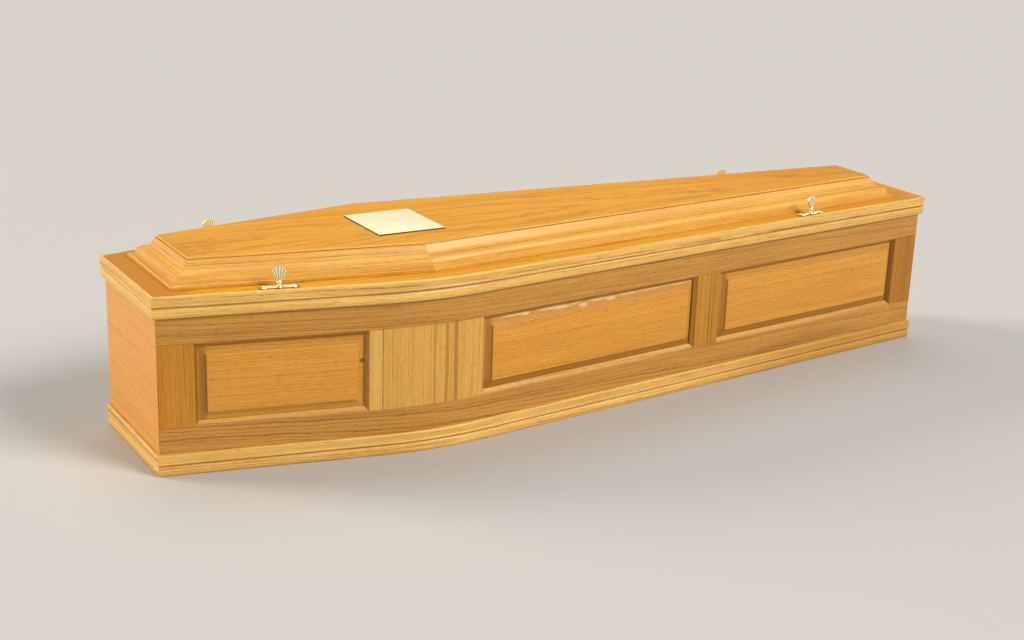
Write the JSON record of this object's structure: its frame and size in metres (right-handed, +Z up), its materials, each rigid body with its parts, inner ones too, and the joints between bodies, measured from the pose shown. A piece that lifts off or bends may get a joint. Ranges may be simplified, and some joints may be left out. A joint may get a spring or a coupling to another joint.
{
  "type": "wooden coffin",
  "caption": "Closed oak coffin with panelled sides, bent shoulders, plinth and lid edge mouldings, a raised lid, a bare name plate and shell-headed lid screws.",
  "frame": {"origin": "on the floor under the middle of the coffin, at the centre of its overall box", "axes": "+X towards the foot end, +Y towards the occupant's left side, +Z up"},
  "size_m": [1.9474, 0.5228, 0.4099],
  "materials": {
    "rail_oak": "clear satin lacquer",
    "stile_oak": "clear satin lacquer",
    "panel_oak": "clear satin lacquer",
    "shoulder_oak": "clear satin lacquer",
    "end_oak": "clear satin lacquer",
    "moulding_oak": "clear satin lacquer",
    "lid_oak": "clear satin lacquer",
    "raised_oak": "clear satin lacquer",
    "name_plate": "polished",
    "screw_brass": "polished"
  },
  "bodies": {
    "root": {"base_board": "end_oak", "head_end_board": "end_oak", "foot_end_board": "end_oak", "lid_board": "lid_oak", "top_panel": "lid_oak", "name_plate": "name_plate", "right_top_rail": "rail_oak", "right_bottom_rail": "rail_oak", "right_head_stile": "stile_oak", "right_middle_stile": "stile_oak", "right_foot_stile": "stile_oak", "right_shoulder_strip": "shoulder_oak", "right_shoulder_board": "shoulder_oak", "right_head_panel": "panel_oak", "right_middle_panel": "panel_oak", "right_foot_panel": "panel_oak", "left_top_rail": "rail_oak", "left_bottom_rail": "rail_oak", "left_head_stile": "stile_oak", "left_middle_stile": "stile_oak", "left_foot_stile": "stile_oak", "left_shoulder_strip": "shoulder_oak", "left_shoulder_board": "shoulder_oak", "left_head_panel": "panel_oak", "left_middle_panel": "panel_oak", "left_foot_panel": "panel_oak", "plinth_moulding_head": "moulding_oak", "plinth_moulding_foot": "moulding_oak", "plinth_moulding_right": "moulding_oak", "plinth_moulding_left": "moulding_oak", "lid_edge_moulding_head": "moulding_oak", "lid_edge_moulding_foot": "moulding_oak", "lid_edge_moulding_right": "moulding_oak", "lid_edge_moulding_left": "moulding_oak", "raised_moulding_head": "raised_oak", "raised_moulding_foot": "raised_oak", "raised_moulding_head_right": "raised_oak", "raised_moulding_foot_right": "raised_oak", "raised_moulding_head_left": "raised_oak", "raised_moulding_foot_left": "raised_oak", "screw_plate_head_right": "screw_brass", "lid_screw_head_right": "screw_brass", "screw_plate_head_left": "screw_brass", "lid_screw_head_left": "screw_brass", "screw_plate_foot_right": "screw_brass", "lid_screw_foot_right": "screw_brass", "screw_plate_foot_left": "screw_brass", "lid_screw_foot_left": "screw_brass"}
  },
  "joints": []
}
